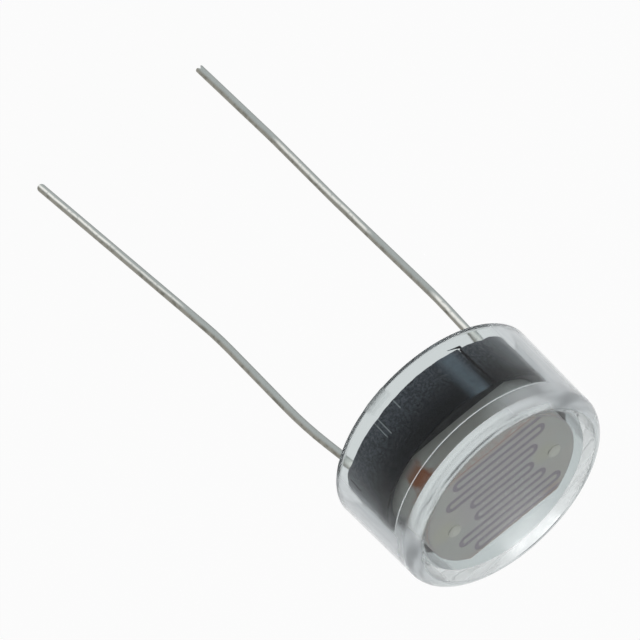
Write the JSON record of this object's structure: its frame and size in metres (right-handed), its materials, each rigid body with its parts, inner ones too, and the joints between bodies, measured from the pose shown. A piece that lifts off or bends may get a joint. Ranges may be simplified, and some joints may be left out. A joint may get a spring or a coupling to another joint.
{
  "type": "photoresistor",
  "caption": "Light-dependent resistor: ceramic disc with a serpentine light-sensitive track behind the window of a clear round plastic case, with wire leads at the rear.",
  "frame": {"origin": "centre of the case's rear rim, where the part seats on a board or panel", "axes": "+Z out of the window along the case's axis, +X from wire B to wire A"},
  "size_m": [0.0139, 0.0138, 0.0361],
  "materials": {
    "clear_plastic": "clear and polished",
    "liner_strip": "matt dark strip",
    "ceramic": "matt fired ceramic",
    "photo_film": "matt sintered film",
    "electrode_film": "dull evaporated metal",
    "contact_dot": "conductive paste",
    "tinned_wire": "tinned copper, drawn",
    "potting_compound": "cast epoxy"
  },
  "bodies": {
    "root": {"case": "clear_plastic", "liner": "liner_strip", "disc": "ceramic", "photo_layer": "photo_film", "electrode_a": "electrode_film", "electrode_b": "electrode_film", "contact_a": "contact_dot", "contact_b": "contact_dot", "lead_a": "tinned_wire", "lead_b": "tinned_wire", "potting": "potting_compound"}
  },
  "joints": []
}
